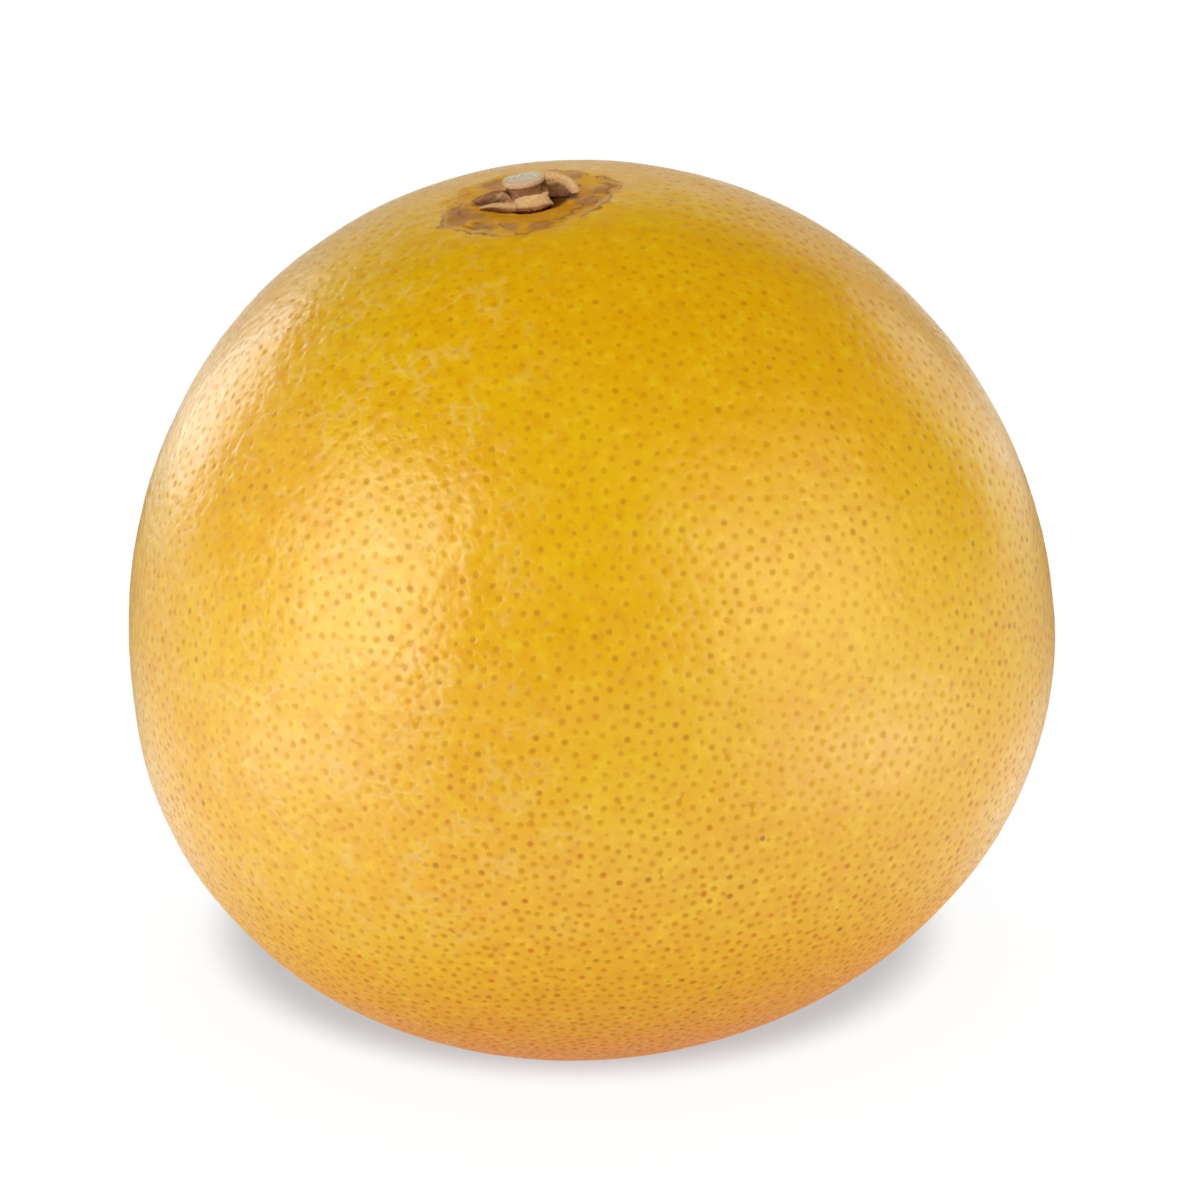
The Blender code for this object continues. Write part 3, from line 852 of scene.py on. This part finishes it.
def calyx_material():
    s = Shader("dry_calyx")
    place = s.place(STEM_MATRIX)
    # Cream where a sepal faces up and brown where it faces down: partly the sepals' own colour, partly
    # painted shade on their undersides.
    facing = s.split(s.node("ShaderNodeTexCoord", {}, {}, "Normal"))[2]
    upper = s.spread(facing, -0.60, 0.20)
    blotch = s.noise(place, 0.0011, 3.0, 0.6)
    fibres = s.noise(place, 0.00035, 3.0, 0.6)
    mottle = s.spread(blotch, 0.25, 0.60, 0.80, 1.12)
    paleness = s.math("MULTIPLY", s.times(s.attribute("pale"), upper), mottle, clamp=True)
    brown = s.mix(s.spread(blotch, 0.42, 0.60), SEPAL_BROWN_DARK, SEPAL_BROWN_PALE)
    cream = s.mix(s.spread(fibres, 0.40, 0.65), SEPAL_CREAM_DARK, SEPAL_CREAM_PALE)
    bark = s.mix(paleness, brown, cream)
    bark = s.mix(s.spread(s.attribute("along"), 0.80, 1.0, 0.0, 0.45), bark, SEPAL_TIP)
    bark = s.mix(s.spread(fibres, 0.40, 0.26, 0.0, 0.22), bark, SEPAL_GRAIN)
    normal = s.bump(fibres, 0.00005, 0.8)
    return s.finish(Base_Color=bark, Roughness=0.82, Normal=normal, Specular_IOR_Level=0.3)


def stub_material():
    s = Shader("cut_stalk")
    place = s.place(STUB_MATRIX)
    x, y, z = s.split(place)
    back = s.math("DIVIDE", s.math("SUBTRACT", y, STUB_FACE_BACK), STUB_FACE_ROUND)
    ragged = s.noise(place, 0.0006, 3.0)
    rho = s.math("ADD", s.length(x, back), s.times(s.math("SUBTRACT", ragged, 0.5), 0.0005))
    speckle = s.noise(place, 0.00028, 3.0, 0.7)
    face = s.mix(s.spread(speckle, 0.36, 0.50), FACE_DARK, FACE_PALE)
    rim = s.mix(s.spread(speckle, 0.35, 0.65), FACE_RIM_DARK, FACE_RIM_PALE)
    wood = s.mix(s.spread(rho, 0.00190, 0.00225), face, rim)
    bark = s.mix(s.spread(ragged, 0.4, 0.6), NECK_BARK_DARK, NECK_BARK_PALE)
    on_neck = s.spread(z, STUB_TOP - HEAD_HEIGHT + 0.00010, STUB_TOP - HEAD_HEIGHT - 0.00008)
    wood = s.mix(on_neck, wood, bark)
    normal = s.bump(speckle, 0.00008, 0.8)
    return s.finish(Base_Color=wood, Roughness=0.85, Normal=normal, Specular_IOR_Level=0.3)


# Stage, lights and camera

FLOOR_REACH = 4.0
FLOOR_GREY = 0.10
GLOW_OPEN, GLOW_SHADED = 0.95, 0.51  # as the camera sees it, in the open and in the fruit's shadow
SHADOW_LEFT, SHADOW_BACK = 0.002, 0.028  # the middle of the soft shadow
SHADOW_INNER, SHADOW_OUTER = 0.0405, 0.0505
CONTACT_BACK, CONTACT_INNER, CONTACT_OUTER = 0.012, 0.007, 0.027  # the darker shade close to the flat spot
CONTACT_SHARE = 0.30  # the light that is left there
GLOW_NEAR, GLOW_AROUND, GLOW_FAR = 0.72, 1.30, 1.00  # as it lights the fruit, from under it outwards
GLOW_STRIP = 0.35  # what is left of it in a strip straight in front
POOL_GLOW, POOL_ASIDE, POOL_FRONT = 3.3, 0.205, 0.125  # the two bright pools under the side boxes
POOL_INNER, POOL_OUTER = 0.05, 0.135
POOL_RIGHT = 0.85  # the right pool's share of the left one's
GLOW_WARM = colour(1.0, 0.72, 0.45)  # light that went from the peel to the floor and back
SOFT_BOXES = (  # name, turn and rise in degrees, distance, width, height, strength of wash and of gleam
    ("front_high", 0, 50, 0.90, 0.50, 0.40, 6.4, 0),
    ("top", 0, 85, 0.90, 0.50, 0.50, 2.6, 0),
    ("back", 180, 14, 0.90, 0.90, 0.32, 1.7, 0),
    ("left_main", -53, 19, 0.90, 0.70, 0.80, 0.4, 3.5),
    ("left_core", -48, 6, 0.90, 0.40, 0.50, 0, 1.4),
    ("left_edge", -37, 14, 0.90, 0.14, 0.70, 0.5, 1.8),
    ("left_wing", -94, 17, 0.90, 0.56, 0.66, 0, 0.55),
    ("left_rim", -136, 12, 1.30, 0.60, 0.60, 0, 3.5),
    ("right_main", 54, 23, 0.90, 0.88, 0.84, 0, 1.3),
    ("right_core", 52, 10, 0.90, 0.45, 0.50, 0, 1.6),
    ("right_edge", 34, 14, 0.90, 0.14, 0.70, 0, 1.95),
    ("right_wing", 91, 9, 0.90, 0.36, 0.42, 0, 0.48),
    ("right_rim", 134, 12, 1.30, 0.60, 0.70, 1.4, 1.4),
    ("far", 180, 18, 1.30, 1.30, 0.70, 0, 0.70),
)


def make_floor():
    """The pale table: one glow, with a painted soft shadow and contact shade, for the camera, and another,
    with painted pools of light, that lights the fruit.
    """
    bm = bmesh.new()
    bmesh.ops.create_circle(bm, cap_ends=True, segments=96, radius=FLOOR_REACH)
    mesh = bpy.data.meshes.new("table")
    bm.to_mesh(mesh)
    bm.free()
    s = Shader("lit_table")
    seen = s.node("ShaderNodeLightPath", {}, {}, "Is Camera Ray")
    x, y = s.split(s.node("ShaderNodeTexCoord", {}, {}, "Object"))[:2]
    away = s.length(x, y)
    cast = s.math("ADD", s.spread(away, 0.030, 0.11, GLOW_NEAR, GLOW_AROUND),
                  s.spread(away, 0.13, 0.19, 0.0, GLOW_FAR - GLOW_AROUND))
    towards_back = s.math("DIVIDE", y, away)
    strip = s.times(s.spread(towards_back, -0.80, -0.97), s.spread(away, 0.12, 0.18))
    shade = s.times(s.spread(towards_back, 0.3, 1.05, 1.0, 0.0), s.spread(strip, 0.0, 1.0, 1.0, GLOW_STRIP))
    cast = s.times(cast, s.math("MAXIMUM", shade, s.spread(away, 0.28, 0.45, 0.0, 1.0)))
    aside = s.math("SUBTRACT", s.math("ABSOLUTE", x), POOL_ASIDE)
    pool = s.spread(s.length(aside, s.math("ADD", y, POOL_FRONT)), POOL_OUTER, POOL_INNER, 0.0, POOL_GLOW)
    pool = s.times(pool, s.spread(x, -0.10, 0.10, 1.0, POOL_RIGHT))
    cast = s.math("ADD", cast, pool)
    # Painted soft shadow and painted contact shade, seen only by the camera.
    from_shadow = s.length(s.math("ADD", x, SHADOW_LEFT), s.math("SUBTRACT", y, SHADOW_BACK))
    shown = s.spread(from_shadow, SHADOW_OUTER, SHADOW_INNER, GLOW_OPEN, GLOW_SHADED)
    from_contact = s.length(x, s.math("SUBTRACT", y, CONTACT_BACK))
    contact = s.spread(from_contact, CONTACT_INNER, CONTACT_OUTER, CONTACT_SHARE, 1.0)
    shown = s.times(shown, contact)
    glow = s.math("ADD", cast, s.times(seen, s.math("SUBTRACT", shown, cast)))
    grey = s.mix(seen, BLACK, colour(FLOOR_GREY, FLOOR_GREY, FLOOR_GREY))
    warm = s.mix(s.spread(away, 0.080, 0.045), WHITE, GLOW_WARM)
    mesh.materials.append(s.finish(
        Base_Color=grey, Roughness=0.9, Specular_IOR_Level=0.0,
        Emission_Color=s.mix(seen, warm, WHITE), Emission_Strength=glow,
    ))
    floor = bpy.data.objects.new("table", mesh)
    bpy.context.scene.collection.objects.link(floor)


def soft_box(name, turn, rise, distance, width, height, wash, gleam):
    """A rectangular light that faces the fruit: its wash lights the colour, its gleam shows in the gloss."""
    towards = unit(math.radians(turn), math.radians(rise))
    kinds = [("light", wash)] if wash == gleam else [("wash", wash), ("gleam", gleam)]
    for kind, radiance in kinds:
        if not radiance:
            continue
        light = bpy.data.lights.new(f"{name}_{kind}", "AREA")
        light.shape = "RECTANGLE"
        light.size, light.size_y = width, height
        light.energy = radiance * math.pi * width * height
        light.cycles.use_multiple_importance_sampling = kind != "wash"  # it shows a wash in the gloss
        lamp = bpy.data.objects.new(light.name, light)
        lamp.location = CENTRE + towards * distance
        lamp.rotation_euler = (-towards).to_track_quat("-Z", "Y").to_euler()
        lamp.visible_diffuse = kind != "gleam"
        lamp.visible_glossy = kind != "wash"
        lamp.visible_camera = False
        bpy.context.scene.collection.objects.link(lamp)


def make_lights():
    for box in SOFT_BOXES:
        soft_box(*box)
    world = bpy.data.worlds.new("studio")
    bpy.context.scene.world = world
    world.use_nodes = True
    nodes, links = world.node_tree.nodes, world.node_tree.links
    output = nodes["World Output"]
    room = nodes["Background"]
    room.inputs["Color"].default_value = WHITE
    room.inputs["Strength"].default_value = 0.0
    backdrop = nodes.new("ShaderNodeBackground")
    backdrop.inputs["Color"].default_value = WHITE
    backdrop.inputs["Strength"].default_value = 1.0
    seen = nodes.new("ShaderNodeLightPath")
    choose = nodes.new("ShaderNodeMixShader")
    links.new(seen.outputs["Is Camera Ray"], choose.inputs[0])
    links.new(room.outputs[0], choose.inputs[1])
    links.new(backdrop.outputs[0], choose.inputs[2])
    links.new(choose.outputs[0], output.inputs["Surface"])


def make_camera():
    data = bpy.data.cameras.new("camera")
    data.sensor_width = SENSOR_WIDTH * 1000
    data.lens = CAMERA_DISTANCE / (METRES_PER_PIXEL * IMAGE_PIXELS) * SENSOR_WIDTH * 1000
    data.clip_start, data.clip_end = 0.01, 20
    camera = bpy.data.objects.new("camera", data)
    back = unit(0, CAMERA_ELEVATION)
    camera.location = CENTRE + back * CAMERA_DISTANCE
    level_up = unit(0, CAMERA_ELEVATION + math.pi / 2)
    aim = CENTRE + Vector((AIM_RIGHT, 0, 0)) + level_up * AIM_UP
    camera.rotation_euler = (aim - camera.location).to_track_quat("-Z", "Y").to_euler()
    bpy.context.scene.collection.objects.link(camera)
    bpy.context.scene.camera = camera


make_camera()
make_floor()
make_lights()
peel = make_peel()
peel.data.materials.append(peel_material())
sepals = make_calyx()
sepals.data.materials.append(calyx_material())
stub = make_stub()
stub.data.materials.append(stub_material())

view = bpy.context.scene.view_settings
view.view_transform = "Standard"

bpy.context.view_layer.update()
